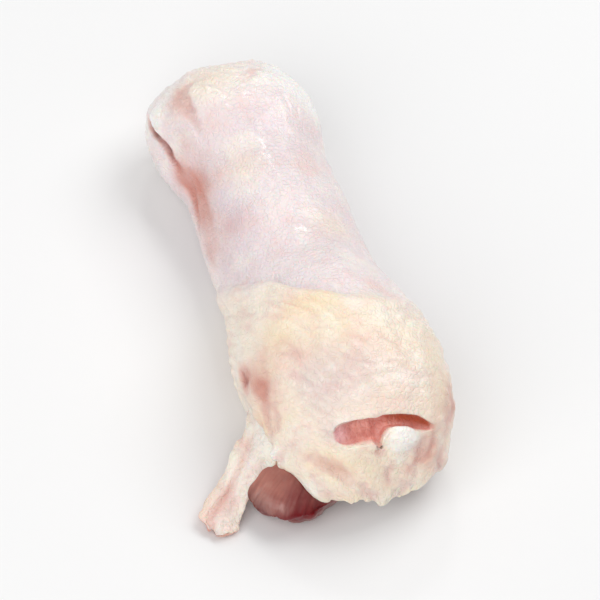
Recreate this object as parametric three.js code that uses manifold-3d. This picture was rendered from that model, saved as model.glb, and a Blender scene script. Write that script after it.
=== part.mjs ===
// A raw chicken wing joint, the thick first one, lying on its side.
// The elbow end points to +Y and the cut shoulder end to -Y. Z is up and the wing rests on Z = 0.
// Thin skin covers the elbow and the shaft. A thicker fatty skin starts at a fold halfway along
// and ends in a ragged hem over the cut shoulder, with a slit, a notch and a loose strip.
// The arm bone runs through the meat and shows its gristle at both ends.
import * as THREE from "three";
import { mergeVertices } from "three/addons/utils/BufferGeometryUtils.js";
import Module from "manifold-3d";

const wasm = await Module();
wasm.setup();

// Driving dimensions, in millimetres. y is where the middle of that stretch lies.
const ELBOW = { width: 27, height: 22, y: 30 };
const SHAFT = { width: 24.5, height: 21.5, y: 4 };
const SHOULDER = { width: 31, height: 27, y: -20 };
const CUT_END = { width: 27, height: 21, y: -31 };
const AXIS = { x: 0.6, z: 11.5, elbowY: 30, shoulderY: -27 }; // the line that the skin is measured from
const ORIGIN = { x: -5.23, y: -0.7 }; // the point of the ground under the middle of the wing
const FOOT = 0.8; // how far the soft meat is pressed flat by its own weight
const BLEND = 1.8; // softness of the valleys between muscles
const CLEARANCE = 0.35; // between bone and meat
const SLIT = { length: 19, width: 4.2, depth: 5, aim: [2, -40, 19.7], tilt: -0.05 };
const STRIP = { root: 9, tip: 8, thickness: 2.2, wave: 0.7 };

// Lines on the skin. A place along the wing is 0 at the elbow's tip, 1 and 2 at the two ends of the
// axis, and 3 at the middle of the shoulder's cut. A place around it is in degrees from +X over the
// top. Depths, lifts and rolls are in millimetres.
const ELBOW_CUT = { along: 0.36, droop: 18, depth: 2.2, rollAlong: 0.5, roll: 0.5 };
const FOLD = { along: 1.62, slant: 0.2, forwardAt: 60, strongAt: 118, strongWidth: 56, skin: 1.2, roll: 1.1 };
const HEM = { along: 2.22, apron: 0.6, apronAt: 88, apronWidth: 92, lift: 2.2 };
const NOTCH = { at: 189, width: 12, depth: 0.26, side: 167, sideWidth: 9, sideDepth: 0.1 };
const SHOULDER_CUT = { droop: 30, depth: 1.4 };
const SEAM = { at: 166, width: 7, from: 0.75, to: 1.55, depth: 1.1 };

// Fineness of the surfaces
const COLUMNS = 64;
const ROWS = { elbowCut: 3, thinSkin: 20, fattySkin: 26, shoulderCut: 8 };
const BONE = { columns: 26, rows: 30, blend: 1.2 };

const { degToRad, lerp, clamp, smoothstep, euclideanModulo } = THREE.MathUtils;

// Shapes as blended lobes

function lobe(centre, radii) {
  return { centre: new THREE.Vector3(...centre), radii: new THREE.Vector3(...radii) };
}

/** A muscle of one stretch of the wing. Its x and z are shares of that stretch's width and height. */
function muscle(stretch, [x, y, z], [reachX, reachY, reachZ]) {
  return lobe(
    [x * stretch.width, stretch.y + y, z * stretch.height],
    [reachX * stretch.width, reachY, reachZ * stretch.height],
  );
}

// The knuckles, the fold of skin beside them and the muscles, from the elbow to the shoulder.
const MEAT_LOBES = [
  muscle(ELBOW, [0.17, 1, 0.52], [0.33, 11, 0.48]),
  muscle(ELBOW, [-0.17, 2, 0.5], [0.31, 11, 0.46]),
  muscle(ELBOW, [-0.4, 2, 0.5], [0.12, 7.5, 0.21]),
  muscle(SHAFT, [0.05, 4, 0.57], [0.46, 36, 0.45]),
  muscle(SHAFT, [-0.05, 0, 0.45], [0.46, 33, 0.43]),
  muscle(SHOULDER, [0.045, 1, 0.53], [0.4, 20, 0.46]),
  muscle(SHOULDER, [-0.18, 0, 0.45], [0.3, 17, 0.42]),
  muscle(SHOULDER, [0.23, -4, 0.46], [0.28, 16, 0.42]),
  muscle(CUT_END, [0.02, 0, 0.52], [0.46, 11, 0.48]),
];

// The two cut muscles that swell out below the hem of the skin at the shoulder.
const CUT_LOBES = [
  lobe([-12.4, -36.6, 5.8], [8.6, 8.8, 5.8]),
  lobe([10.8, -33, 5.6], [6.5, 7.5, 5.6]),
];

// The arm bone: a ball of gristle at the shoulder, a thin shaft, and two knuckles at the elbow.
const BONE_LOBES = [
  lobe([1.4, -35, 8], [7.2, 7.6, 5.8]),
  lobe([-2.5, -31, 11], [4.6, 6.5, 4.4]),
  lobe([0.6, -2, 11.3], [3.1, 42, 2.9]),
  lobe([4.8, 36.5, 10.6], [4.4, 6.2, 5]),
  lobe([-3.6, 36.3, 10], [4.6, 6.6, 4.6]),
];

/** Distance of a point from a lobe, negative inside, close to true near its surface. */
function lobeDistance(point, { centre, radii }) {
  const across = point.clone().sub(centre).divide(radii);
  const near = across.length();
  const slope = across.divide(radii).length();
  return (near * (near - 1)) / Math.max(slope, 1e-6);
}

/** Distance of a point from all the lobes, joined with soft valleys between them. */
function blendedDistance(lobes, point, blend) {
  const total = lobes.reduce((sum, each) => sum + Math.exp(-lobeDistance(point, each) / blend), 0);
  return -blend * Math.log(total);
}

/** How far along a ray from inside the lobes their surface lies, by halving. */
function reach(lobes, blend, origin, direction) {
  let inside = 0;
  let outside = 60;
  for (let step = 0; step < 22; step++) {
    const middle = (inside + outside) / 2;
    const point = origin.clone().addScaledVector(direction, middle);
    if (blendedDistance(lobes, point, blend) < 0) inside = middle;
    else outside = middle;
  }
  return inside;
}

/**
 * The ray for a place along and around the wing. It leaves the axis at right angles, and past the
 * ends of the axis the rays fan out to the way that each cut looks.
 */
function rayAt(along, around) {
  const lean = ((Math.max(1 - along, 0) + Math.max(along - 2, 0)) * Math.PI) / 2;
  const droop = degToRad(along < 1 ? ELBOW_CUT.droop : SHOULDER_CUT.droop);
  const end = new THREE.Vector3(0, (along < 1 ? 1 : -1) * Math.cos(droop), -Math.sin(droop));
  const y = lerp(AXIS.elbowY, AXIS.shoulderY, clamp(along - 1, 0, 1));
  const direction = new THREE.Vector3(Math.cos(around), 0, Math.sin(around)).multiplyScalar(Math.cos(lean));
  return {
    origin: new THREE.Vector3(AXIS.x, y, AXIS.z),
    direction: direction.addScaledVector(end, Math.sin(lean)).normalize(),
  };
}

/** The point on the blended lobes at a place, moved out by a lift. */
function pointAt(lobes, blend, along, around, lift) {
  const { origin, direction } = rayAt(along, around);
  return origin.addScaledVector(direction, reach(lobes, blend, origin, direction) + lift);
}

/** A closed body from a pole, rings of points and a pole. Each ring is a function of its angle. */
function closedBody(rings, columns) {
  const positions = [...rings[0](0).toArray()];
  for (const ring of rings.slice(1, -1))
    for (let j = 0; j < columns; j++) positions.push(...ring((j / columns) * 2 * Math.PI).toArray());
  positions.push(...rings[rings.length - 1](0).toArray());
  const last = positions.length / 3 - 1;
  const at = (row, column) => 1 + (row - 1) * columns + (column % columns);
  const faces = [];
  for (let j = 0; j < columns; j++) {
    faces.push(0, at(1, j + 1), at(1, j));
    for (let row = 1; row < rings.length - 2; row++) {
      faces.push(at(row, j), at(row, j + 1), at(row + 1, j + 1));
      faces.push(at(row, j), at(row + 1, j + 1), at(row + 1, j));
    }
    faces.push(at(rings.length - 2, j), at(rings.length - 2, j + 1), last);
  }
  const geometry = new THREE.BufferGeometry();
  geometry.setAttribute("position", new THREE.Float32BufferAttribute(positions, 3));
  geometry.setIndex(faces);
  return geometry;
}

// Skin

/** A soft bump of height 1 round a place, with its width, both in degrees. */
function bump(around, at, width) {
  const turn = euclideanModulo(around - degToRad(at) + Math.PI, 2 * Math.PI) - Math.PI;
  return Math.exp(-((turn / degToRad(width)) ** 2));
}

/** Where the skin ends round the elbow's knuckles. */
function rimLine(around) {
  return ELBOW_CUT.along + 0.05 * Math.sin(2 * around + 0.8) + 0.03 * Math.sin(5 * around);
}

/** Where the fatty skin starts: a slanting fold, furthest forward over the top right. */
function foldLine(around) {
  const slant = FOLD.slant * Math.cos(around - degToRad(FOLD.forwardAt));
  return FOLD.along + slant + 0.012 * Math.sin(4 * around + 0.6);
}

/** Where the fatty skin ends: it hangs over the cut from the top, and is torn open low on the left. */
function hemLine(around) {
  const waves = 0.02 * Math.sin(5 * around + 1) + 0.014 * Math.sin(9 * around);
  const apron = HEM.apron * bump(around, HEM.apronAt, HEM.apronWidth);
  const notch = NOTCH.depth * bump(around, NOTCH.at, NOTCH.width);
  const side = NOTCH.sideDepth * bump(around, NOTCH.side, NOTCH.sideWidth);
  return HEM.along + apron - notch - side + waves;
}

/** Height of the thin skin: a roll round the elbow's knuckles and a seam down the left side. */
function thinSkinLift(share, around) {
  const along = lerp(rimLine(around), foldLine(around), share);
  const roll = ELBOW_CUT.roll * Math.exp(-(((along - ELBOW_CUT.rollAlong) / 0.12) ** 2));
  const wander = 6 * Math.sin(5 * along);
  const seamReach = smoothstep(along, SEAM.from, SEAM.from + 0.25) - smoothstep(along, SEAM.to - 0.2, SEAM.to);
  return roll - SEAM.depth * bump(around, SEAM.at + wander, SEAM.width) * seamReach;
}

/** Height of the fatty skin: a roll at the fold, strongest at the upper left, and a lip at the hem. */
function fattySkinLift(share, around) {
  const strong = 0.12 + 0.88 * bump(around, FOLD.strongAt, FOLD.strongWidth);
  const step = strong * smoothstep(share, 0, 0.05);
  const roll = FOLD.roll * step * Math.exp(-share / 0.1);
  const lip = HEM.lift * smoothstep(share, 0.75, 1) * (0.3 + 0.7 * bump(around, HEM.apronAt, 80));
  return FOLD.skin * lerp(step, 1, smoothstep(share, 0, 0.5)) + roll + lip;
}

/** Rings of a stretch of the surface between two lines, as functions of the angle around the wing. */
function stretchRings(rows, from, to, lift, lobes) {
  return Array.from({ length: rows + 1 }, (_, i) => (around) => {
    const share = i / rows;
    const along = lerp(from(around), to(around), share);
    return pointAt(lobes, BLEND, along, around, lift(share, around));
  });
}

/** The meat from the elbow's cut over the thin skin and the fatty skin to the shoulder's cut. */
function meatRings() {
  const swollen = [...MEAT_LOBES, ...CUT_LOBES];
  return [
    ...stretchRings(ROWS.elbowCut, () => 0, rimLine, () => -ELBOW_CUT.depth, MEAT_LOBES),
    ...stretchRings(ROWS.thinSkin, rimLine, foldLine, thinSkinLift, MEAT_LOBES),
    ...stretchRings(ROWS.fattySkin, foldLine, hemLine, fattySkinLift, MEAT_LOBES),
    ...stretchRings(ROWS.shoulderCut, hemLine, () => 3, () => -SHOULDER_CUT.depth, swollen),
  ];
}

/** The bone, grown by a lift for the channel that it leaves in the meat. */
function boneRings(lift) {
  return Array.from({ length: BONE.rows + 1 }, (_, i) => (around) =>
    pointAt(BONE_LOBES, BONE.blend, (3 * i) / BONE.rows, around, lift),
  );
}

/** The loose strip of skin: a wavy band from inside the shoulder down to the ground in front. */
function stripGeometry() {
  const path = new THREE.CatmullRomCurve3([
    new THREE.Vector3(-9.5, -24, 10.5),
    new THREE.Vector3(-14.5, -28.2, 8.6),
    new THREE.Vector3(-17.6, -31.4, 5.8),
    new THREE.Vector3(-20.4, -34.8, 3.4),
    new THREE.Vector3(-23.6, -38.1, 2.2),
    new THREE.Vector3(-26.6, -41, 2.2),
  ]);
  const rings = [];
  const steps = 16;
  for (let i = 0; i <= steps; i++) {
    const share = i / steps;
    const centre = path.getPointAt(share);
    const tangent = path.getTangentAt(share);
    const side = new THREE.Vector3(0, 0, 1).cross(tangent).normalize();
    const up = tangent.clone().cross(side);
    const round = Math.sqrt(Math.max(1 - (2 * share - 1) ** 8, 0));
    const halfWidth = (lerp(STRIP.root, STRIP.tip, share) / 2) * round;
    rings.push((around) => {
      const across = Math.cos(around);
      const wave = STRIP.wave * Math.sin(4 * share + 2 * across);
      return centre
        .clone()
        .addScaledVector(side, halfWidth * across)
        .addScaledVector(up, (STRIP.thickness / 2) * round * Math.sin(around) + wave * round);
    });
  }
  return closedBody(rings, 16);
}

// Solids

/** A solid for joining and cutting, from a closed geometry. */
function solid(geometry) {
  const bare = geometry.clone();
  bare.deleteAttribute("normal");
  bare.deleteAttribute("uv");
  const merged = mergeVertices(bare, 1e-4);
  return new wasm.Manifold(
    new wasm.Mesh({
      numProp: 3,
      vertProperties: merged.attributes.position.array,
      triVerts: new Uint32Array(merged.index.array),
    }),
  );
}

function geometryOf(manifold) {
  const mesh = manifold.getMesh();
  const geometry = new THREE.BufferGeometry();
  geometry.setAttribute("position", new THREE.BufferAttribute(new Float32Array(mesh.vertProperties), 3));
  geometry.setIndex(new THREE.BufferAttribute(new Uint32Array(mesh.triVerts), 1));
  geometry.computeVertexNormals();
  return geometry;
}

/** The space above the ground, as a block wider than the wing. */
function aboveGround() {
  return solid(new THREE.BoxGeometry(200, 200, 100).translate(0, 0, 50));
}

/** The lens that opens the slit across the top of the shoulder. */
function slitTool() {
  const origin = new THREE.Vector3(AXIS.x, AXIS.shoulderY, AXIS.z);
  const out = new THREE.Vector3(...SLIT.aim).sub(origin).normalize();
  const across = new THREE.Vector3(1, 0, SLIT.tilt).cross(out).normalize();
  const surface = reach(MEAT_LOBES, BLEND, origin, out) + FOLD.skin;
  const lens = new THREE.SphereGeometry(1, 24, 16);
  lens.scale(SLIT.length / 2, SLIT.width / 2, SLIT.depth);
  lens.applyMatrix4(new THREE.Matrix4().makeBasis(across.clone().cross(out), across, out));
  return solid(lens.translate(...origin.addScaledVector(out, surface).toArray()));
}

function makeMeat() {
  const body = solid(closedBody(meatRings(), COLUMNS));
  const channel = solid(closedBody(boneRings(CLEARANCE), BONE.columns));
  return body
    .add(solid(stripGeometry()))
    .subtract(slitTool())
    .subtract(channel)
    .translate([0, 0, -FOOT])
    .intersect(aboveGround());
}

function makeBone() {
  return solid(closedBody(boneRings(0), BONE.columns)).translate([0, 0, -FOOT]);
}

// The wing

const skinMaterial = new THREE.MeshStandardMaterial({ color: 0xf0dfd2, roughness: 0.35, metalness: 0 });
const gristleMaterial = new THREE.MeshStandardMaterial({ color: 0xe7dfd4, roughness: 0.25, metalness: 0 });

function named(name, manifold, material) {
  const mesh = new THREE.Mesh(geometryOf(manifold), material);
  mesh.name = name;
  mesh.position.set(-ORIGIN.x, -ORIGIN.y, 0);
  return mesh;
}

const wing = new THREE.Group();
wing.name = "raw_chicken_wing";
wing.add(named("wing_meat", makeMeat(), skinMaterial));
wing.add(named("wing_bone", makeBone(), gristleMaterial));

export default wing;
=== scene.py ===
# %% [markdown]
# # A raw chicken wing joint
# The thick first joint of a wing lies on its side. Thin skin covers the elbow and the shaft, a
# thicker fatty skin starts at a fold halfway along, and it ends in a ragged hem over the cut meat.
# The solid model gives the size and the main forms. This scene works the same formulas out far
# more finely and adds what a close look shows: feather roots, wrinkles, wet patches and colour.

import bpy
import numpy as np
from mathutils import Matrix, Vector


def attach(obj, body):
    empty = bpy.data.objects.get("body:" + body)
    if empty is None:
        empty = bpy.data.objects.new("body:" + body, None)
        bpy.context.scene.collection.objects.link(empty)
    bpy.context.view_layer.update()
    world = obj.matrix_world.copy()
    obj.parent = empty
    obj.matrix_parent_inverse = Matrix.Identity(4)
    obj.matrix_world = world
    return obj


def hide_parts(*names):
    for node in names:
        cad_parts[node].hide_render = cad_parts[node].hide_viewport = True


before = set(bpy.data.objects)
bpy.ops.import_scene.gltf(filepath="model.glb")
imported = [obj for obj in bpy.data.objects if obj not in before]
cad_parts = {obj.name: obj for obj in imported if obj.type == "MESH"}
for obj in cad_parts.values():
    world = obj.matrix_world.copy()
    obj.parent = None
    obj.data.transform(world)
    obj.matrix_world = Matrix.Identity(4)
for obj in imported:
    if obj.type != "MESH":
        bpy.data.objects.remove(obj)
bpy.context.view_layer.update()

# %% [markdown]
# ## Muscles as blended lobes
# Under the skin are round muscles with soft valleys between them. They could be sculpted, but a
# sculpt can't be checked against the solid model. So each muscle is an ellipsoid, a smooth union
# joins them, and the surface is where rays from the middle of the wing leave that union. All
# shapes are worked out in millimetres first and become metres when a mesh is made.

# %% The lobes of the meat and of the bone


def muscle(stretch, centre, radii):
    """An ellipsoid whose x and z are shares of the width and height of its stretch of the wing."""
    width, height, y = stretch
    scale = np.array([width, 1, height])
    return np.array(centre) * scale + [0, y, 0], np.array(radii) * scale


ELBOW, SHAFT, SHOULDER, CUT_END = (27, 22, 30), (24.5, 21.5, 4), (31, 27, -20), (27, 21, -31)
meat_lobes = [
    muscle(ELBOW, (0.17, 1, 0.52), (0.33, 11, 0.48)),
    muscle(ELBOW, (-0.17, 2, 0.5), (0.31, 11, 0.46)),
    muscle(ELBOW, (-0.4, 2, 0.5), (0.12, 7.5, 0.21)),
    muscle(SHAFT, (0.05, 4, 0.57), (0.46, 36, 0.45)),
    muscle(SHAFT, (-0.05, 0, 0.45), (0.46, 33, 0.43)),
    muscle(SHOULDER, (0.045, 1, 0.53), (0.4, 20, 0.46)),
    muscle(SHOULDER, (-0.18, 0, 0.45), (0.3, 17, 0.42)),
    muscle(SHOULDER, (0.23, -4, 0.46), (0.28, 16, 0.42)),
    muscle(CUT_END, (0.02, 0, 0.52), (0.46, 11, 0.48)),
]
cut_lobes = [
    (np.array([-12.4, -36.6, 5.8]), np.array([8.6, 8.8, 5.8])),
    (np.array([10.8, -33, 5.6]), np.array([6.5, 7.5, 5.6])),
]
bone_lobes = [
    (np.array([1.4, -35, 8]), np.array([7.2, 7.6, 5.8])),
    (np.array([-2.5, -31, 11]), np.array([4.6, 6.5, 4.4])),
    (np.array([0.6, -2, 11.3]), np.array([3.1, 42, 2.9])),
    (np.array([4.8, 36.5, 10.6]), np.array([4.4, 6.2, 5])),
    (np.array([-3.6, 36.3, 10]), np.array([4.6, 6.6, 4.6])),
]
print("lobes of meat, cut and bone:", len(meat_lobes), len(cut_lobes), len(bone_lobes))

# %% [markdown]
# ## A soft union
# Where two muscles meet, skin bridges the valley between them. A plain union would leave a sharp
# crease there. Adding up exp(-distance) over the lobes instead melts them together, and the blend
# says over how many millimetres.

# %% The soft distance to the lobes

MEAT_BLEND, BONE_BLEND = 1.8, 1.2  # millimetres


def blended_distance(lobes, points, blend):
    """Soft smallest distance: minus blend times the log of the sum of exp(-distance / blend)."""
    total = 1e-300
    for centre, radii in lobes:
        across = (points - centre) / radii
        near = np.linalg.norm(across, axis=-1)
        slope = np.maximum(np.linalg.norm(across / radii, axis=-1), 1e-6)
        total = total + np.exp(-near * (near - 1) / slope / blend)
    return -blend * np.log(total)


gap = blended_distance(meat_lobes, np.array([0.6, 0, 40.0]), MEAT_BLEND)
print("a point 40 mm above the floor is", gap.round(), "mm off the meat")

# %% [markdown]
# ## Rays that find the surface
# A place on the wing is two numbers: how far along it is, and the angle round it. Between 1 and 2
# its ray stands square to the wing's axis. From 0 to 1 and from 2 to 3 the rays fan out over the
# ends, so that the same two numbers reach every point of the surface, up to a pole at each end.

# %% From places to points on the surface

AXIS_START, AXIS_END = 30, -27  # y of the places 1 and 2 along, in millimetres
AXIS_LENGTH = AXIS_START - AXIS_END  # millimetres per unit along
AXIS_X, AXIS_Z = 0.6, 11.5
ELBOW_DROOP, CUT_DROOP = 18, 30  # degrees by which the two ends look down


def reach(lobes, blend, origins, directions):
    """How far each ray travels inside the lobes, found by halving the doubt 20 times."""
    inside = np.zeros(directions.shape[:-1])
    outside = np.full(directions.shape[:-1], 60.0)  # millimetres, well outside the wing
    for _ in range(20):
        middle = (inside + outside) / 2
        within = blended_distance(lobes, origins + directions * middle[..., None], blend) < 0
        inside = np.where(within, middle, inside)
        outside = np.where(within, outside, middle)
    return inside


def lerp(start, end, share):
    """A share of the way from start to end."""
    return start + (end - start) * share


def ease(value, start, end):
    """0 before start, 1 after end, and a smooth S between them."""
    share = np.clip((value - start) / (end - start), 0, 1)
    return share * share * (3 - 2 * share)


def rays(along, around):
    """Rays square to the wing's axis for places along from 1 to 2. Past either end they fan out
    by a quarter turn, to the way that the cut there looks, which droops a little."""
    lean = (np.maximum(1 - along, 0) + np.maximum(along - 2, 0)) * np.pi / 2
    droop = np.radians(np.where(along < 1, ELBOW_DROOP, CUT_DROOP))
    side = np.where(along < 1, 1, -1)
    nil = np.zeros_like(along)
    end = np.stack([nil, side * np.cos(droop), -np.sin(droop)], -1)
    radial = np.stack([np.cos(around), nil, np.sin(around)], -1)
    directions = radial * np.cos(lean)[..., None] + end * np.sin(lean)[..., None]
    directions /= np.linalg.norm(directions, axis=-1, keepdims=True)
    axis_y = lerp(AXIS_START, AXIS_END, np.clip(along - 1, 0, 1))
    origins = np.stack([nil + AXIS_X, axis_y, nil + AXIS_Z], -1)
    return origins, directions


def surface(lobes, along, around, lift, blend=MEAT_BLEND):
    """The point where a place's ray leaves the lobes, moved out along the ray by a lift."""
    origins, directions = rays(along, around)
    return origins + directions * (reach(lobes, blend, origins, directions) + lift)[..., None]


quarters = np.radians([0, 90, 180, 270])
girth = surface(meat_lobes, np.full(4, 1.3), quarters, 0.0)
print("the bare shaft's width and height in mm:", np.ptp(girth, axis=0)[[0, 2]].round(1))

# %% [markdown]
# ## Lines on the skin
# Four lines run round the wing: the rim round the elbow's knuckles, the fold where the fatty skin
# starts, the line of the slit, and the ragged hem. Each is a place along the wing as a function
# of the angle round it. They could be drawn as curves, but as functions the rows of the skin's
# grid can follow them exactly, so a lip or a slit is never a staircase.

# %% Rim, fold and hem


def hill(value, at, width):
    """A soft hill of height 1: exp(-((value - at) / width) squared)."""
    return np.exp(-(((value - at) / width) ** 2))


def bump(around, at, width):
    """A soft hill round the wing. Around is in radians, and at and width are in degrees."""
    turn = (np.degrees(around) - at + 180) % 360 - 180
    return hill(turn, 0, width)


def rim_line(around):
    """A ring round the knuckles with 2 and 5 waves, and with slight quick wavers."""
    quick = 0.008 * np.sin(9 * around + 2 * np.sin(3 * around)) + 0.003 * np.sin(17 * around + 1)
    return 0.36 + 0.05 * np.sin(2 * around + 0.8) + 0.02 * np.sin(5 * around) + quick


def plain_fold(around):
    """A slanting ring, furthest towards the shoulder at 60 to 80 degrees."""
    return 1.62 + 0.2 * np.cos(around - np.radians(60)) + 0.04 * bump(around, 80, 22)


def fold_line(around):
    """The plain fold with slow and quick wavers."""
    quick = 0.008 * np.sin(7 * around + 1) + 0.005 * np.sin(13 * around)
    return plain_fold(around) + 0.012 * np.sin(4 * around + 0.6) + quick


def plain_hem(around):
    """A ring that hangs far over the cut at the top, less a notch low on the left whose right
    side is steep."""
    steep_side = 0.06 * bump(around, 150, 10) - 0.1 * bump(around, 167, 9)
    return 2.22 + 0.6 * bump(around, 88, 92) - 0.26 * bump(around, 189, 12) + steep_side


def hem_line(around):
    """The plain hem with waves, and with nibbles of less than half a millimetre."""
    waves = 0.02 * np.sin(5 * around + 1) + 0.014 * np.sin(9 * around)
    nibbles = 0.009 * np.sin(23 * around + 2 + np.sin(3 * around)) + 0.004 * np.sin(37 * around)
    return plain_hem(around) + waves + nibbles


print("hem at 0, 90, 180 and 270 degrees:", hem_line(quarters).round(2))

# %% [markdown]
# ## The slit
# A knife went through the fatty skin across the shoulder. The cut gapes most on the left, has a
# nick in its middle and runs out to a point on the right. Its line and its width are functions of
# the angle too, so that rows of the grid can part along it.

# %% The slit's width and line

SLIT_STRETCH = 40  # millimetres over the skin per unit along the wing, where the slit is
SLIT_LEFT, SLIT_SPAN = 119, 65  # degrees
SLIT_NARROW, SLIT_WIDENING, NICK = 2.4, 1.6, 1.1  # millimetres
NICK_AT = 93  # degrees


def slit_share(around):
    """0 at the slit's left end and 1 at its right end."""
    return np.clip((SLIT_LEFT - np.degrees(around)) / SLIT_SPAN, 0, 1)


def slit_width(around):
    """Millimetres: 4 in the slit's left part, 2.4 in its right part, with a nick between them and
    a point at the right end."""
    s = slit_share(around)
    pointed = 1 - np.clip(1 - (1 - s) / 0.3, 0, 1) ** 2
    widened = SLIT_NARROW + SLIT_WIDENING * (1 - ease(s, 0.36, 0.52))
    return widened * pointed + NICK * bump(around, NICK_AT, 2.4)


def slit_opening(around):
    """The slit's width, ended on the left with the round of a circle."""
    rounded = np.sqrt(1 - np.clip(1 - slit_share(around) / 0.12, 0, 1) ** 2)
    return slit_width(around) * rounded


def slit_line(around):
    """Over half of the way from fold to hem, level where the slit is, lower at its right end,
    and half the width lower all along it, so that the lower lip sags and not the upper one."""
    ring = lerp(plain_fold(around), plain_hem(around), 0.62)
    upper_lip = lerp(ring, 2.42, bump(around, 86, 50)) + 0.05 * bump(around, 50, 14)
    sag = slit_width(around) / 2 * (1 - ease(np.degrees(around), 122, 170))
    return upper_lip + sag / SLIT_STRETCH


print("the slit gapes", slit_opening(np.radians([115, 93, 70, 60])).round(1), "mm, left to right")

# %% [markdown]
# ## Natural unevenness
# Skin is never even. Random heights on a coarse lattice, eased between its points, give soft
# lumps, and finer lattices added on top give finer ones. Blender's own noise could do it, but only
# point by point. These are pure functions of a place, on whole arrays and from fixed seeds.

# %% Lumps

LATTICE = 24  # random heights along each side of the lattice, before it repeats


def lumps(points, size, seed):
    """Heights from -1 to 1: random numbers on a cubic lattice of this size, eased between."""
    table = np.random.default_rng(seed).random((LATTICE, LATTICE, LATTICE)) * 2 - 1
    scaled = points / size
    cell = np.floor(scaled).astype(int)
    share = scaled - cell
    share = share * share * (3 - 2 * share)
    height = 0
    for corner in np.ndindex(2, 2, 2):
        weight = np.prod(np.where(corner, share, 1 - share), axis=-1)
        x, y, z = np.moveaxis((cell + corner) % LATTICE, -1, 0)
        height = height + weight * table[x, y, z]
    return height


def rough(points, size, octaves, seed):
    """Lumps of a size plus ever finer ones, each half as large and half as high."""
    return sum(lumps(points, size / 2**i, seed + i) / 2**i for i in range(octaves))


three_places = np.array([[0, 0, 0], [5, 0, 0], [5, 9, 0]])
print("lumpy heights at three places:", rough(three_places, 4.0, 2, 1).round(2))

# %% [markdown]
# ## Feather roots
# Plucked skin keeps the roots of its feathers: small mounds in staggered rows, half of them with
# a pit. Noise has no rows, so they stand on a grid of cells, each strayed a little from the middle
# of its cell.

# %% Mounds and pits in rows

ROOT_SPACING = 2.35  # millimetres between neighbouring feather roots
ROOT_ROWS = 0.87  # spacing of the rows, as a share of that
ROOTS_ROUND, JITTER_ROWS = 34, 80  # roots in a row round the wing, and rows before they repeat
ROOT_DRIFT = 0.45  # how far a root strays from the middle of its cell, as a share of the cell
MOUND_RADIUS, PIT_RADIUS = 0.5, 0.26  # millimetres


def feather_roots(sideways, lengthways):
    """Mounds in staggered rows: for each of the nine nearest jittered cells, a hill that falls
    with the squared distance, and on half of them a narrow pit. Places are in millimetres."""
    jitter = np.random.default_rng(5).random((JITTER_ROWS, ROOTS_ROUND, 4))
    u = sideways / ROOT_SPACING
    v = lengthways / (ROOT_SPACING * ROOT_ROWS)
    row = np.floor(v).astype(int)
    height, pit = 0, 0
    for step in (-1, 0, 1):
        line = row + step
        stagger = (line % 2) * 0.5
        column = np.floor(u - stagger).astype(int)
        for shift in (-1, 0, 1):
            at = column + shift
            random = jitter[line % JITTER_ROWS, at % ROOTS_ROUND]
            du = (u - stagger - at - 0.5 - ROOT_DRIFT * (random[..., 0] - 0.5)) * ROOT_SPACING
            dv = (v - line - 0.5 - ROOT_DRIFT * (random[..., 1] - 0.5)) * ROOT_SPACING * ROOT_ROWS
            far = du**2 + dv**2
            strength = 0.35 + 0.65 * random[..., 2]
            height = height + strength * np.exp(-far / MOUND_RADIUS**2 / 2)
            pit = pit + strength * (random[..., 3] > 0.5) * np.exp(-far / PIT_RADIUS**2 / 2)
    return height, pit


print("feather roots per square centimetre:", round(100 / (ROOT_SPACING**2 * ROOT_ROWS)))

# %% [markdown]
# ## From a grid to a mesh
# Every piece is a grid of rows and columns. The columns always run round and close. The rows
# either end in a pole at each end, as on a ball, or join up to a ring profile, as on a cuff. Values
# such as how fatty the skin is are kept as attributes, so that colours can follow the surface.

# %% The mesh maker

FOOT = 0.8  # millimetres by which the soft meat is pressed flat by its own weight
MIDDLE = np.array([-5.23, -0.7, 0])  # the point of the ground under the middle of the wing


def quads(number):
    """Faces between the neighbouring rows of a grid of vertex numbers, wound to face outwards."""
    right = np.roll(number, -1, axis=1)
    return np.stack([number[:-1], right[:-1], right[1:], number[1:]], -1).reshape(-1, 4)


def make_piece(name, grid, layers, joined=False, floor=0.0):
    """A closed mesh from a grid in millimetres. Nothing sinks below the floor height given."""
    rows, columns = grid.shape[:2]
    placed = grid - MIDDLE - [0, 0, FOOT]
    placed[..., 2] = np.maximum(placed[..., 2], floor)
    if joined:
        number = np.arange(rows * columns).reshape(rows, columns)
        faces = quads(np.vstack([number, number[:1]])).tolist()

        def pick(values):
            return values.reshape(rows * columns, -1)
    else:
        number = 1 + np.arange((rows - 2) * columns).reshape(rows - 2, columns)
        last = number[-1, -1] + 1
        first_ring, last_ring = number[0], number[-1]
        faces = quads(number).tolist()
        faces += np.stack([0 * first_ring, np.roll(first_ring, -1), first_ring], -1).tolist()
        faces += np.stack([last_ring, np.roll(last_ring, -1), 0 * last_ring + last], -1).tolist()

        def pick(values):
            flat = values.reshape(rows, columns, -1)
            poles = flat[0].mean(0, keepdims=True), flat[-1].mean(0, keepdims=True)
            return np.vstack([poles[0], flat[1:-1].reshape((rows - 2) * columns, -1), poles[1]])

    mesh = bpy.data.meshes.new(name)
    mesh.from_pydata(pick(placed / 1000), [], faces)
    mesh.polygons.foreach_set("use_smooth", np.ones(len(mesh.polygons), bool))
    for layer, values in layers.items():
        attribute = mesh.attributes.new(layer, "FLOAT", "POINT")
        attribute.data.foreach_set("value", pick(values).astype(np.float32).ravel())
    mesh.update()
    piece = bpy.data.objects.new(name, mesh)
    bpy.context.scene.collection.objects.link(piece)
    mesh.calc_loop_triangles()
    size = (placed.reshape(-1, 3).max(0) - placed.reshape(-1, 3).min(0)).round(1)
    print(name, "has", len(mesh.loop_triangles), "triangles and measures", size, "mm")
    return piece


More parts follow.
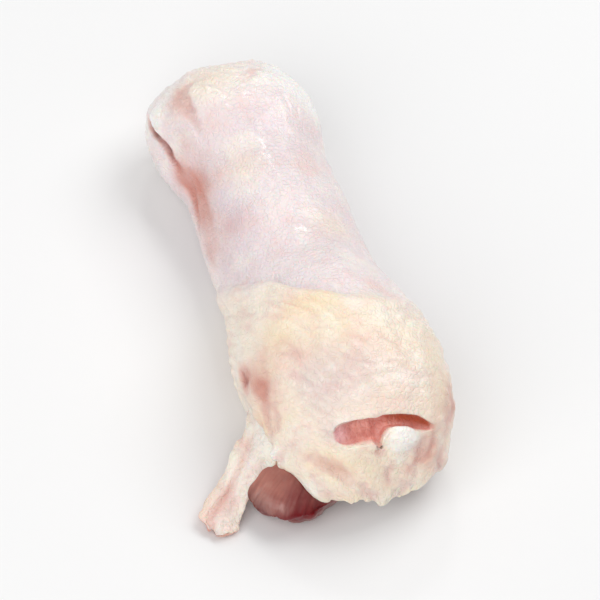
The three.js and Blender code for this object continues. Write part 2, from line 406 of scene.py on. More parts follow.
# %% [markdown]
# ## Directions on a grid
# Relief moves each point the way its surface faces. Blender knows normals only once a mesh is
# there, but a grid gives them before: the step to the next column crossed with the step to the
# next row.

# %% Which way a grid faces


def unit(vectors):
    """The same directions, each of length 1."""
    return vectors / np.maximum(np.linalg.norm(vectors, axis=-1, keepdims=True), 1e-9)


def facing(grid):
    """The outward direction at each point: its step round crossed with its step along."""
    step_along = np.gradient(grid, axis=0)
    step_round = np.roll(grid, -1, axis=1) - np.roll(grid, 1, axis=1)
    return unit(np.cross(step_round, step_along))


def angles(columns):
    """Evenly spaced angles of a full turn, one for each column of a grid."""
    return np.arange(columns) / columns * 2 * np.pi


print("four columns stand at", np.degrees(angles(4)), "degrees")

# %% [markdown]
# ## The skin
# On a real wing the skin is one sheet, thin over the elbow and thick with fat over the shoulder.
# Two sheets would show a joint, so one grid runs from the rim to the hem. At the fold its profile
# makes a flat S, so that the fatty skin laps over the thin skin, and the S dies out on the right.
# At the slit a band of rows is pulled open and pressed in, with the upper lip hanging over.

# %% Rows of the skin

SKIN_COLUMNS = 256
THIN_ROWS, FATTY_ROWS, POCKET_ROWS, APRON_ROWS = 150, 92, 20, 68
BAND = 1.1  # half the width, in mm, of the rows that open into the slit
SAMPLES = 2001  # places at which a density is summed up


def crowded(count, pulls):
    """Shares from 0 to 1, packed closer near each pull: the running sum of a density."""
    fine = np.linspace(0, 1, SAMPLES)
    hills = [strength * hill(fine, at, width) for at, width, strength in pulls]
    density = 1 + sum(hills)
    total = np.concatenate([[0], np.cumsum((density[1:] + density[:-1]) / 2)])
    return np.interp(np.linspace(0, 1, count), total / total[-1], fine)


def skin_rows(around):
    """Places along the wing for every row and column, before the fold and the slit are made."""
    lines = rim_line, fold_line, slit_line, hem_line
    rim, fold, slit, hem = (line(around)[None] for line in lines)
    band = BAND / SLIT_STRETCH
    thin_share = crowded(THIN_ROWS + 1, [(1, 0.05, 1.6), (0.12, 0.16, 0.9)])[:-1, None]
    fatty_share = crowded(FATTY_ROWS + 1, [(0, 0.14, 2.2), (1, 0.1, 0.8)])[:-1, None]
    pocket_share = np.linspace(0, 1, POCKET_ROWS + 1)[:-1, None]
    apron_share = crowded(APRON_ROWS, [(0, 0.15, 0.8), (1, 0.1, 1)])[:, None]
    thin = lerp(rim, fold, thin_share)
    fatty = lerp(fold, slit - band, fatty_share)
    pocket = lerp(slit - band, slit + band, pocket_share)
    apron = lerp(slit + band, hem, apron_share)
    return np.vstack([thin, fatty, pocket, apron])


column_angles = angles(SKIN_COLUMNS)
place = skin_rows(column_angles)
around = np.broadcast_to(column_angles, place.shape)
print("skin grid:", place.shape)

# %% [markdown]
# ## Opening the slit and lapping the fold
# A slit cut out with a Boolean would leave ragged edges. Here rows that were already laid along
# its line are moved apart instead, and sink between the lips. The fold is made the same way: rows
# near it change their order along the wing, so that the fatty skin comes to lie over the thin.

# %% The slit and the fold, as shifts along the wing

SLIT_DEPTH = 2.5  # millimetres, at its deepest
LIP_HEIGHT = 0.35  # millimetres by which the skin bulges beside the slit
WIDEST_SLIT = 4.9  # millimetres, the opening that counts as a full gape
PUSH_REACH, LIP_WIDTH = 6, 1.4  # millimetres beside the slit over which push and lip die away
FOLD_LAP, FOLD_REACH = 1.25, 2  # how strongly the fold laps over, and within how many mm
FOLD_AT, FOLD_WIDTH = 118, 56  # degrees: where round the wing it is strong


def open_slit(place, around):
    """Moves rows away from the slit's line by half its opening, less with distance, and spreads
    the band's rows over the opening. Returns the new places, the height in mm, how far inside the
    pocket a point is, and p, which runs from -1 at the upper lip to 1 at the lower one. The
    pocket's profile is 1 - p to the 6th, hooked under the upper lip and shallow on the left."""
    distance = (place - slit_line(around)) * SLIT_STRETCH
    opening = slit_opening(around)
    gape = opening / WIDEST_SLIT
    p = np.clip(distance / BAND, -1, 1)
    outside = np.maximum(np.abs(distance) - BAND, 0)
    gap = opening / 2 - BAND * ease(gape, 0, 0.15)
    pushed = np.sign(distance) * gap * np.exp(-outside / PUSH_REACH)
    hooked = -0.9 * gape * hill(p, -0.74, 0.22) * ease(slit_share(around), 0.1, 0.4)
    spread = np.where(np.abs(p) < 1, gap * p + hooked, pushed)
    inside = np.where(np.abs(p) < 1, 1 - p**6, 0) * ease(gape, 0.05, 0.25)
    deeper_right = lerp(0.3, 1, ease(slit_share(around), 0, 0.3))
    depth = -SLIT_DEPTH * inside * (0.75 - 0.25 * p) * gape**0.5 * deeper_right
    lip = LIP_HEIGHT * gape * np.exp(-outside / LIP_WIDTH) * (np.abs(p) >= 1)
    return place + spread / SLIT_STRETCH, depth + lip, inside, p


def fold_over(place, around):
    """The flat S of the fold: a point at a distance of q mm moves back by the lap times
    q exp(-(q / reach) squared). Returns the new places, q, and how strong the fold is."""
    q = (place - fold_line(around)) * AXIS_LENGTH
    strong = 0.04 + 0.96 * bump(around, FOLD_AT, FOLD_WIDTH)
    shift = strong * FOLD_LAP * q * hill(q, 0, FOLD_REACH)
    return place - shift / AXIS_LENGTH, q, strong


opened, slit_depth, pocket, across_slit = open_slit(place, around)
folded, past_fold, fold_strength = fold_over(opened, around)
widest = slit_opening(column_angles).max().round(1)
print("the slit is", widest, "mm wide and", -slit_depth.min().round(1), "mm deep")

# %% [markdown]
# ## How high the skin stands
# The skin's height over the muscles is a sum of simple hills and valleys: the fatty layer with a
# roll along the fold, the lip over the hem, the roll round the rim, a seam down the left side, and
# the slit. A sum is easy to change one part at a time. The rays then carry it onto the muscles.

# %% Heights of the skin over the muscles

FATTY_LAYER, FOLD_ROLL, FOLD_HOLLOW = 1.2, 0.9, 0.3  # millimetres, as all heights here are
HEM_LIP, LEFT_HEM_LIP, RIM_ROLL = 2.2, 0.9, 0.5
FOLD_CREASE, SEAM_GROOVE, SEAM_HOLLOW = 0.22, 0.55, 0.5


def seam(along, around):
    """A thin wandering groove down the left side, from beside the elbow to the fold, and the
    wider hollow above it. Both run from 0 to 1."""
    sideways = 18 * ease(along, 1.05, 1.27) - 8 * ease(along, 1.3, 1.5)
    turn = np.degrees(around) - sideways - 1.5 * np.sin(19 * along) - np.sin(37 * along)
    groove = bump(np.radians(turn), 167, 4.5) * (ease(along, 0.95, 1.1) - ease(along, 1.3, 1.55))
    hollow = bump(np.radians(turn), 156, 13) * (ease(along, 0.95, 1.2) - ease(along, 1.4, 1.6))
    return groove * (0.6 + 0.4 * np.sin(23 * along)), hollow


share = np.clip((place - fold_line(around)) / (hem_line(around) - fold_line(around)), 0, 1)
risen = ease(past_fold, -1.2, 2.6)
step = (0.12 + 0.88 * bump(around, FOLD_AT, FOLD_WIDTH)) * risen
roll = FOLD_ROLL * hill(past_fold, 1.6, 2.4)
roll = step * (roll - FOLD_HOLLOW * hill(past_fold, 5.2, 1.7))
lip = HEM_LIP * (0.3 + 0.7 * bump(around, 88, 80)) * (1 - 0.8 * bump(around, 186, 24))
lip = (lip + LEFT_HEM_LIP * bump(around, 150, 13)) * ease(share, 0.75, 1)
rim_roll = RIM_ROLL * hill(place, 0.5, 0.12)
crease = FOLD_CREASE * fold_strength * hill(past_fold, -1.8, 1.5)
groove, hollow = seam(place, around)
fatty_height = FATTY_LAYER * lerp(step, 1, ease(share, 0, 0.5)) * risen + roll + lip
height = fatty_height + rim_roll - crease - SEAM_GROOVE * groove - SEAM_HOLLOW * hollow + slit_depth
base = surface(meat_lobes, folded, around, height)
steps = np.linalg.norm(np.diff(base, axis=0), axis=-1)
travel = np.vstack([0 * steps[:1], np.cumsum(steps, axis=0)])
travel = travel - travel[THIN_ROWS]  # millimetres over the skin, counted from the fold
print("skin stands up to", height.max().round(1), "mm over the muscles")
print("and is at most", (travel[-1] - travel[0]).max().round(), "mm long from rim to hem")

# %% [markdown]
# ## Relief of the skin
# Close up, the fatty skin has rows of feather roots and shallow wrinkles, the elbow is knobbly, the
# shaft is almost smooth, and the apron hangs in soft pleats. All of it is one height that moves
# each point the way it faces. The same height tells the colours where the valleys are, which get
# painted shade, pinker and darker, and where the mounds are, which get a painted highlight. Single
# creases and knobs are placed one by one, from what shows.

# %% Creases, knobs and spots at places on the skin


def on_skin(along, degrees):
    """The skin's grid points nearest to places along and around the wing."""
    column = np.round(np.asarray(degrees) / 360 * SKIN_COLUMNS).astype(int) % SKIN_COLUMNS
    row = np.abs(folded[:, column] - along).argmin(axis=0)
    return base[row, column]


def creases(points, lines):
    """Valleys along lines over the skin: the sum, over the lines, of depth times
    exp(-(distance / width) squared), fading to both ends. A line is four straight pieces."""
    total = 0
    for along_a, degrees_a, along_b, degrees_b, width, depth in lines:
        t = np.linspace(0, 1, 5)
        corners = on_skin(lerp(along_a, along_b, t), lerp(degrees_a, degrees_b, t))
        near, where = np.full(points.shape[:-1], 1e9), np.zeros(points.shape[:-1])
        for i, (start, end) in enumerate(zip(corners[:-1], corners[1:])):
            way = end - start
            s = np.clip((points - start) @ way / np.maximum(way @ way, 1e-6), 0, 1)
            far = np.linalg.norm(points - start - s[..., None] * way, axis=-1)
            where = np.where(far < near, (i + s) / 4, where)
            near = np.minimum(far, near)
        fading = np.sin(np.pi * (0.06 + 0.88 * where)) ** 0.8
        total = total + depth * hill(near, 0, width) * fading
    return total


def spots(points, places, sharpness=2.0):
    """Soft hills round places: the sum of strength times exp(-(distance / radius) to the power)."""
    total = 0
    for along, degrees, radius, strength in places:
        far = np.linalg.norm(points - on_skin([along], [degrees])[0], axis=-1)
        total = total + strength * np.exp(-((far / radius) ** sharpness))
    return total


# %% [markdown]
# ## Where the creases and the knobs are
# A wing that has been cut and handled has creases of its own: fine ones and a deep slash beside
# the elbow, a pit and short folds where the strip comes off, and torn pleats over the cut. They
# are lines between two places, which wander a little, because nothing on skin is straight.

# %% The lines and the knobs

elbow_lines = [  # from along, degrees, to along, degrees, then width and depth in mm
    (0.58, 135, 1.04, 142, 0.9, 0.5), (0.6, 116, 0.72, 136, 1.2, 0.3),
    (0.62, 131, 0.98, 138, 0.5, 0.35), (0.6, 60, 0.8, 92, 1.4, 0.2),
    (0.7, 20, 0.95, 5, 1.4, 0.25), (0.55, 230, 0.8, 250, 1.3, 0.3),
]
left_lines = [
    (1.83, 172, 1.93, 169, 0.9, 0.4), (1.92, 150, 2.04, 163, 1.1, 0.3),
    (2.0, 164, 2.18, 171, 1.0, 0.45), (2.02, 176, 2.16, 182, 0.8, 0.5),
    (2.12, 153, 2.28, 165, 1.0, 0.35), (1.9, 141, 1.98, 127, 1.5, 0.25),
]
apron_lines = [
    (2.48, 138, 2.62, 117, 1.2, 0.55), (2.43, 146, 2.56, 131, 1.0, 0.3),
    (2.53, 94, 2.59, 91, 0.6, 0.9), (2.5, 62, 2.64, 66, 0.9, 0.5),
    (2.47, 52, 2.6, 57, 0.8, 0.4), (2.3, 30, 2.44, 46, 1.2, 0.4),
    (2.62, 84, 2.74, 88, 0.8, 0.4), (2.66, 108, 2.78, 104, 0.8, 0.3),
]
slashes = [
    (0.7, 167, 1.06, 167, 0.55, 1.2), (1.0, 167, 1.11, 172, 0.5, 0.7),
    (1.1, 174, 1.3, 188, 0.7, 0.45), (1.83, 175, 1.92, 173, 0.85, 0.8),
]
knobs = [  # along, degrees, then radius and height in mm
    (2.516, 80, 2.0, 1.1), (2.52, 73, 1.4, 0.5), (2.6, 82, 1.3, 0.35), (2.31, 170, 1.3, 0.7),
    (0.84, 162, 1.7, 0.5), (0.94, 166, 1.3, 0.35), (0.75, 157, 1.7, 0.5), (0.7, 75, 2.4, 0.3),
]
wander = np.stack([lumps(base, 4, 35), lumps(base, 4, 36), lumps(base, 4, 37)], -1)
slash = creases(base + 0.4 * wander, slashes)
valleys = creases(base + 0.9 * wander, elbow_lines + left_lines + apron_lines) + slash
hills = spots(base + 0.5 * wander, knobs, 2.8) * (1 - pocket)
print("creases to", valleys.max().round(2), "mm deep and knobs to", hills.max().round(2), "mm high")

# %% [markdown]
# ## One height for everything fine
# Displacement in a material would leave the mesh smooth, so the relief goes into the mesh. Each
# part of it fades where real skin lacks it: feather roots on the shaft, wrinkles at the rim. The
# pocket of the slit stays almost smooth, and round the root of the strip the skin gathers.

# %% The relief

UNEVEN, SWELL, PLEAT, STRETCH_MARK = 0.14, 0.36, 0.3, 0.07  # millimetres
GATHER, GATHER_PLEATS, GATHER_RADIUS = 0.28, 9, 9  # height and radius in millimetres
GATHER_AT, MM_PER_DEGREE = 181, 0.26  # where round the wing, and the skin's length per degree
WRINKLE_RING = 5  # millimetres: noise on a ring this small is drawn out round the wing

on_cap = ease(past_fold, 0, 5)
on_elbow = ease(-place, -1.15, -0.7)
near_rim = ease(-place, -0.5, -0.4)
apron = ease(share, 0.72, 0.95)
mounds, pits = feather_roots(around / (2 * np.pi) * ROOTS_ROUND * ROOT_SPACING, travel)
root_height = 0.08 + 0.26 * on_cap + 0.28 * on_elbow * (1 - near_rim) + 0.1 * rough(base, 11, 2, 41)
root_height = np.clip(root_height, 0.03, 1) * (1 - pocket) * (1 - 0.4 * apron)
uneven = UNEVEN * rough(base, 2.6, 2, 21)
swell = SWELL * rough(base, 8, 2, 11) * (0.35 + 0.65 * np.maximum(on_cap, on_elbow))
swell = swell * (1 - 0.7 * near_rim)
drawn_out = [np.cos(around) * WRINKLE_RING, np.sin(around) * WRINKLE_RING, travel]
wrinkles = (1 - np.abs(rough(np.stack(drawn_out, -1), 2.7, 2, 29))) ** 4
wrinkles = wrinkles * (0.03 + 0.12 * on_cap + 0.06 * on_elbow)
crinkles = (1 - np.abs(rough(base, 4.2, 2, 27))) ** 3
crinkles = crinkles * (0.2 * on_elbow * (1 - near_rim) + 0.1 * apron)
waver = 2.5 * lumps(base, 9, 31)
pleats = PLEAT * np.sin(12 * around + 2 * waver) * apron * bump(around, 88, 100)
gather_x = (np.degrees(around) - GATHER_AT) * MM_PER_DEGREE
gather_y = travel - (travel[-1, SKIN_COLUMNS // 2] + 1)
gather = hill(np.hypot(gather_x, gather_y), 0, GATHER_RADIUS) * (past_fold > 0)
gathers = GATHER * np.sin(GATHER_PLEATS * np.arctan2(gather_y, gather_x) + waver) * gather
stretched = STRETCH_MARK * lumps(base * [1, 0.12, 1], 1.1, 51) * (1 - on_cap) * (1 - on_elbow)
close_relief = root_height * (mounds - 0.3 * pits) - wrinkles + crinkles
close_relief = close_relief + pleats + gathers + stretched - valleys
relief = (close_relief + uneven + swell + hills) * (1 - 0.5 * pocket)
outer = base + facing(base) * relief[..., None]
print("relief from", relief.min().round(2), "to", relief.max().round(2), "mm")

# %% [markdown]
# ## Where the colours change
# Raw skin has orange pink flushes where it was bent or cut, lavender where muscle shines through,
# yellow where fat lies close under it, and white over the knuckles and on the torn tissue. In the
# creases the flush is painted shade, above the fold the lavender is a painted shadow, and three
# white spots along the elbow's right edge are painted highlights. Soft spots, placed one by one,
# make them, because plain noise would spread them evenly.

# %% Places of flushes, lavender, fat and white

flush_places = [  # along, degrees, radius in mm, then strength
    (1.89, 173, 2.3, 0.85), (1.96, 161, 2.8, 0.45), (2.0, 180, 3.0, 0.3),
    (1.379, 151, 2.8, 0.35), (1.904, 141, 3.4, 0.25), (1.12, 167, 2.2, 0.4),
    (1.2, 172, 3.8, 1.0), (1.915, 163, 1.8, 0.25), (1.28, 175, 3.4, 0.65),
    (1.37, 174, 2.8, 0.25), (2.573, 114, 3.0, 0.2), (2.314, 36, 3.4, 0.6), (2.51, 52, 2.0, 0.5),
    (2.45, 58, 1.6, 0.5), (2.346, 51, 2.4, 0.25), (2.272, 31, 2.8, 0.6), (2.577, 39, 2.4, 0.45),
    (1.974, 152, 2.6, 0.35), (2.06, 158, 2.8, 0.15), (2.57, 55, 2.2, 0.5), (2.62, 64, 1.8, 0.4),
    (2.36, 152, 2.6, 0.3), (1.561, 4, 3.5, 0.25),
]
flush_lines = [
    (0.6, 138, 0.96, 145, 1.1, 0.6), (1.06, 170, 1.32, 181, 1.4, 0.5),
    (1.02, 152, 1.12, 161, 1.0, 0.25), (1.88, 167, 2.1, 158, 1.5, 0.4),
]
lavender_places = [
    (1.284, 147, 3.2, 0.5), (1.379, 138, 3.0, 0.4), (1.505, 163, 3.2, 0.4),
    (1.979, 117, 2.8, 0.7), (2.077, 128, 2.6, 0.6), (2.2, 103, 5.0, 0.9), (2.248, 66, 4.0, 0.5),
    (2.05, 92, 3.0, 0.4), (2.235, 122, 4.2, 0.7), (2.18, 80, 4.0, 0.4), (2.42, 120, 1.8, 0.9),
    (2.46, 117, 1.6, 0.7), (2.577, 39, 2.4, 0.6), (1.3, 270, 9.0, 0.3),
]
fat_places = [
    (1.826, 123, 2.4, 0.6), (1.834, 110, 2.4, 0.7), (1.848, 99, 2.2, 0.5),
    (1.85, 138, 2.4, 0.4), (1.905, 134, 2.4, 0.55), (1.94, 150, 2.4, 0.4), (2.5, 134, 2.2, 0.5),
    (2.56, 126, 2.0, 0.45), (2.13, 42, 5.0, 0.35), (2.19, 153, 4.5, 0.3), (1.98, 78, 6.0, 0.2),
    (1.22, 118, 3.2, 0.35), (0.6, 105, 5.0, 0.35), (0.75, 125, 4.0, 0.3), (2.6, 95, 4.5, 0.35),
    (2.573, 116, 3.5, 0.5), (1.921, 101, 3.5, 0.4), (1.497, 65, 3.5, 0.3),
    (1.95, 120, 3.0, 0.3), (2.346, 51, 3.0, 0.3), (2.107, 172, 2.5, 0.5),
]
white_and_highlight_places = [
    # the spots at 0.75, 0.9 and 1.02 along are painted highlights on the elbow's right edge; the
    # rest are white tissue
    (2.57, 108, 3.6, 0.5), (0.9, 38, 4.5, 1.0), (0.75, 50, 3.5, 0.9), (1.02, 30, 3.0, 0.6),
    (2.52, 76, 2.4, 0.8),
]
spot_count = len(flush_places) + len(lavender_places) + len(fat_places) + len(white_and_highlight_places)
print("soft spots of colour:", spot_count)

# %% [markdown]
# ## The values that the colours follow
# Each value runs from 0 to 1 over the skin and is kept as an attribute. Some come from the spots,
# and others from the shape itself, such as valleys, mounds, pores and the pocket of the slit, so
# that colour and relief always agree. The valleys carry painted shade and the mounds a painted
# highlight.

# %% The values that the colours follow

# Painted shade: low places of the relief are tinted pinker and darker, as shade in the valleys.
valley = np.clip(0.5 - close_relief * 1.8 + 0.8 * uneven, 0, 1)
# Painted shadow: a lavender band on the thin skin just above the fold, where the fatty skin's lap
# shades it.
fold_shadow_band = fold_strength * hill(past_fold, -3.6, 3.0) * bump(around, 95, 60)
streaks = 0.85 + 0.45 * rough(base * [1, 0.25, 1], 1.6, 2, 63)
flush = (spots(base + 1.4 * wander, flush_places) + creases(base + wander, flush_lines)) * streaks
# Painted shade: the creases, the seam's groove and its hollow are flushed darker orange pink.
flush = flush + 0.5 * ease(-place, -0.47, -0.36) + 0.5 * np.clip(valleys, 0, 0.6)
flush = flush + 0.25 * hollow + 0.35 * groove * (1 + lumps(base, 3, 61))
# The lavender includes the painted shadow band above the fold.
lavender = spots(base, lavender_places) + 0.12 * fold_shadow_band
lavender = lavender + 0.25 * (1 - on_cap) * (1 - on_elbow) * (1 + rough(base, 7, 2, 65))
yellowed = spots(base, fat_places) + 0.5 * ease(share, 0.93, 1) * (0.5 + lumps(base, 3, 69))
faint_fold = 1 - fold_strength
thickened = ease(past_fold + 2.5 * wander[..., 0], -1.5 - 5 * faint_fold, 3.5 + 6 * faint_fold)
# Blood and painted shade: dark orange under the slit's upper lip, towards its right end.
ember = pocket * ease(slit_share(around), 0.3, 0.7) * ease(-across_slit, -0.8, 0.4)
skin_layers = {
    "fat": 0.1 + 0.9 * thickened,
    "yellow": yellowed,
    # orange pink flushes, and painted shade in the creases and the seam
    "flush": flush,
    # muscle showing through, and the painted shadow band above the fold
    "lavender": lavender,
    "flesh": ease(pocket, 0.35, 0.8) + 0.6 * ease(slash, 0.2, 0.7),
    # painted shade: the slash creases darkened to deep brown
    "dark": 0.7 * ease(slash, 0.35, 0.9) * (0.8 + 0.4 * lumps(base, 1.2, 67)),
    # blood and painted shade under the slit's upper lip
    "ember": ember,
    # painted shade in the valleys, and a painted highlight on the mounds of the feather roots
    "valley": valley,
    "mound": mounds * np.clip(root_height / 0.3, 0, 1),
    "pore": pits * (0.25 + on_cap + on_elbow),
    # white tissue, and painted highlights on the elbow's right edge
    "white": hills * 1.4 + 0.4 * on_elbow + spots(base, white_and_highlight_places),
}
skin_layers = {name: np.clip(values, 0, 1) for name, values in skin_layers.items()}
print("mean of each value:", {name: float(v.mean().round(2)) for name, v in skin_layers.items()})

# %% [markdown]
# ## Giving the sheet its thickness
# Cut skin has a soft round edge, about a millimetre thick. Solidify would thicken the lap of the
# fold into itself, so the profile is closed by hand: half a circle round the hem, a way back that
# hides inside the meat, and half a circle round the rim.

# %% Closing the skin round the hem, inside the meat and round the rim

RING_RADIUS = 14  # millimetres, a ring of about the wing's size for noise along an edge
HIDDEN = -4.6  # millimetres, how deep in the meat the way back runs
HEM_THICKNESS, RIM_THICKNESS = 1.5, 0.85  # millimetres


def rounded_edge(edge, tangent, out, thickness, count):
    """Half a circle from the outer face of an edge to its inner face, as count new rows."""
    angle = np.linspace(0, np.pi, count + 2)[1:-1, None, None]
    half = thickness[None, :, None] / 2
    return edge + tangent * half * np.sin(angle) - out * half * (1 - np.cos(angle))


ring = [np.cos(column_angles) * RING_RADIUS, np.sin(column_angles) * RING_RADIUS]
ring = np.stack([*ring, 0 * column_angles], -1)
hem_thickness = HEM_THICKNESS + 0.35 * rough(ring, 4, 2, 71)
hem_thickness = hem_thickness * (1 - 0.4 * bump(column_angles, 184, 24))
rim_thickness = RIM_THICKNESS + 0.25 * rough(ring, 4, 2, 75)
out = facing(outer)
hem_edge = rounded_edge(outer[-1], unit(outer[-1] - outer[-4]), out[-2], hem_thickness, 6)
rim_edge = rounded_edge(outer[0], unit(outer[0] - outer[3]), out[1], rim_thickness, 4)[::-1]
inner_share = np.array([0, 0.015, 0.04, 0.08, 0.14, 0.3, 0.5, 0.7, 0.9, 0.97, 1.0])[:, None]
inner_place = lerp(hem_line(column_angles), rim_line(column_angles), inner_share)
deep = ease(inner_share, 0.0, 0.14) * ease(1 - inner_share, 0.0, 0.06)
near_hem = height[-1] - hem_thickness
inner_height = lerp(near_hem, -rim_thickness, ease(inner_share, 0.5, 0.9))
inner_height = lerp(inner_height, HIDDEN, deep)
inner_around = np.broadcast_to(column_angles, inner_place.shape)
inner = surface(meat_lobes, inner_place, inner_around, inner_height)
profile = np.vstack([outer, hem_edge, inner, rim_edge])
print("the hem is", hem_thickness.min().round(1), "to", hem_thickness.max().round(1), "mm thick")

# %% [markdown]
# ## The skin's mesh
# The rows that close the sheet need values as well: fat shows on the hem's cut edge, and a little
# flesh on its inside.

# %% Values on the edges, and the mesh


def carried(values, hem_value, inside, rim_value):
    """A layer over the whole profile: its own values outside, given ones round the edges."""
    rows = [values, np.full(hem_edge.shape[:2], hem_value), np.full(inner.shape[:2], inside)]
    return np.vstack(rows + [np.full(rim_edge.shape[:2], rim_value)])


edges = {  # values round the hem's edge, inside, and round the rim's edge
    "fat": (1, 1, 0.7),
    "yellow": (0.45, 0.3, 0.3),
    "flush": (0.05, 0.35, 0.5),
    "flesh": (0, 0.2, 0),
    "valley": (0.3, 0.5, 0.5),
    "white": (0.3, 0, 0),
}
for name, values in skin_layers.items():
    skin_layers[name] = carried(values, *edges.get(name, (0, 0, 0)))
wing_skin = make_piece("wing_skin", profile, skin_layers, joined=True)

# %% [markdown]
# ## The cut meat
# Under the hem, in the notch and round the knuckles the bare muscle shows. It is wet, dark pink
# to red, and its fibres run in bundles towards the bone, with pale sheaths between them. It could
# be a copy of the solid meat, but that has no fibres. So it is one closed body just inside the
# skin, from the same lobes on a finer grid, which swells past the hem into the two cut muscles.

# %% The muscle under the skin

MEAT_COLUMNS, MEAT_ROWS = 224, 170
MEAT_SUNK = (-1.4, -1.5)  # millimetres in from the lobes' surface, at the elbow and elsewhere
CUT_SWELLING = 1.0  # millimetres
SWELLING_AT, SWELLING_WIDTH = 196, 20  # degrees round the wing
MEAT_FLOOR, BONE_FLOOR = 0.25, 0.3  # millimetres off the floor: the skin alone rests on it
meat_share = crowded(MEAT_ROWS, [(0.05, 0.08, 1.5), (0.8, 0.16, 4), (0.97, 0.05, 1)])[:, None]
meat_around = np.broadcast_to(angles(MEAT_COLUMNS), (MEAT_ROWS, MEAT_COLUMNS))
meat_place = np.broadcast_to(meat_share * 3, meat_around.shape)
bare = ease(meat_place - hem_line(meat_around), -0.06, 0.12)
origins, directions = rays(meat_place, meat_around)
covered_reach = reach(meat_lobes, MEAT_BLEND, origins, directions)
swollen_reach = reach(meat_lobes + cut_lobes, MEAT_BLEND, origins, directions)
sunk = lerp(*MEAT_SUNK, ease(meat_place, 0.3, 0.6))
at_joint = ease(-meat_place, -0.55, -0.4)
meat_reach = lerp(covered_reach, swollen_reach, bare) + sunk
meat_base = origins + directions * meat_reach[..., None]
fibre_place = meat_base * [1, 0.16, 1]
bundles = rough(fibre_place, 3.0, 2, 81)
gaps = hill(rough(fibre_place + 3, 2.8, 2, 83), 0, 0.12)
fibres = rough(fibre_place, 0.9, 2, 85)
trimmed = rough(meat_base, 6.5, 2, 93) + 0.2 * rough(meat_base, 2.2, 2, 99)
meat_relief = 0.45 * bundles - 0.35 * gaps + 0.1 * fibres + 1.1 * trimmed * bare
meat_relief = meat_relief * (0.2 + 0.8 * bare)
meat_relief = meat_relief + at_joint * (0.9 * rough(meat_base, 2.6, 3, 95) - 0.1)
past_hem = meat_place - hem_line(meat_around)
swelling = CUT_SWELLING * bump(meat_around, SWELLING_AT, SWELLING_WIDTH)
swelling = swelling * ease(past_hem, 0.16, 0.36)
meat_relief = meat_relief + swelling
meat_grid = meat_base + facing(meat_base) * meat_relief[..., None]
print("the muscle's relief:", meat_relief.min().round(1), "to", meat_relief.max().round(1), "mm")

# %% [markdown]
# ## What the muscle's colours follow
# The cut muscle is darkest low down and close under the hem, as painted shade, and nearly black red
# low on its right, which is blood and painted shade. It is paler where sheaths cover it. At the
# knuckles it turns to white tissue.

# %% The muscle's values

# Painted shade: strongest close under the hem, weaker further out.
under_hem_shade = bare * (1 - 0.75 * ease(past_hem + 0.06 * trimmed, 0.14, 0.36))
across_wing, high = meat_base[..., 0] + trimmed, meat_base[..., 2]
# Blood and painted shade, strongest low on the right side of the cut.
blood_and_shade_side = lerp(1, 0.3, ease(across_wing, -9, -3))
meat_layers = {
    "sheath": ease(rough(meat_base, 5, 3, 91), 0.2, 0.6),
    # the low parts of the bundles and the gaps between them get painted shade
    "bundle": 0.5 + 0.5 * bundles,
    "fibre": 0.5 + 0.5 * fibres,
    "gap": gaps,
    "joint": at_joint * ease(rough(meat_base, 3.2, 3, 97), -0.5, 0.3),
    # painted shade low down and close under the hem
    "low": ease(trimmed - high, -7.0, -3.8) * under_hem_shade,
    # blood and painted shade
    "blood": ease(across_wing - high, -23.5, -20.5) * blood_and_shade_side * under_hem_shade,
}
cut_meat = make_piece("cut_meat", meat_grid, meat_layers, floor=MEAT_FLOOR)

# %% [markdown]
# ## The loose strip
# A strip of skin comes off the shoulder's left side and hangs down in front of the cut, to the
# surface it lies on. It starts on the skin and leaves it without a step, because it is the same
# sheet. Two curves, one for each edge, say where it goes. Their first points are taken from the
# skin itself, so the strip stays joined to it.

# %% The two edges of the strip

CURVE_STEPS = 400  # places on a curve, before they are spaced evenly


def smooth_path(points, count):
    """A curve through points: cubic pieces whose slopes are taken from the neighbours, then
    spaced evenly by length."""
    points = np.array(points, float)
    padded = np.vstack([2 * points[0] - points[1], points, 2 * points[-1] - points[-2]])
    t = np.linspace(0, len(points) - 1 - 1e-9, CURVE_STEPS)
    i = np.floor(t).astype(int)
    s = (t - i)[:, None]
    a, b, c, d = (padded[i + k] for k in range(4))
    square, cube = 2 * a - 5 * b + 4 * c - d, 3 * b - a - 3 * c + d
    curve = 0.5 * (2 * b + (c - a) * s + square * s**2 + cube * s**3)
    length = np.concatenate([[0], np.cumsum(np.linalg.norm(np.diff(curve, axis=0), axis=1))])
    even = np.linspace(0, length[-1], count)
    return np.stack([np.interp(even, length, curve[:, k]) for k in range(3)], -1)


STRIP_ROWS, STRIP_COLUMNS = 150, 96
left_edge = [*on_skin([1.9, 1.95], [168, 178]), (-18.3, -27.6, 8.2), (-21.0, -30.8, 6.2)]
left_edge += [(-23.6, -33.8, 4.5), (-27.0, -36.6, 2.9), (-30.0, -39.2, 2.1)]
right_edge = [*on_skin([2.2, 2.3], [160, 168]), (-15.0, -34.5, 7.8), (-17.5, -36.3, 5.9)]
right_edge += [(-20.0, -38.4, 4.0), (-22.3, -41.2, 2.4), (-24.2, -43.6, 2.0)]
left_path, right_path = smooth_path(left_edge, STRIP_ROWS), smooth_path(right_edge, STRIP_ROWS)
path = (left_path + right_path) / 2
path_length = np.linalg.norm(np.diff(path, axis=0), axis=-1).sum()
print("the strip is", path_length.round(), "mm long")

# %% [markdown]
# ## The strip's body
# A flat ribbon would look like paper, so the strip is a closed band: an oval profile carried
# between the two edges, with a lengthwise dent, waves, a nibbled outline, a torn end, and feather
# roots on its upper side alone.

# %% The strip of skin

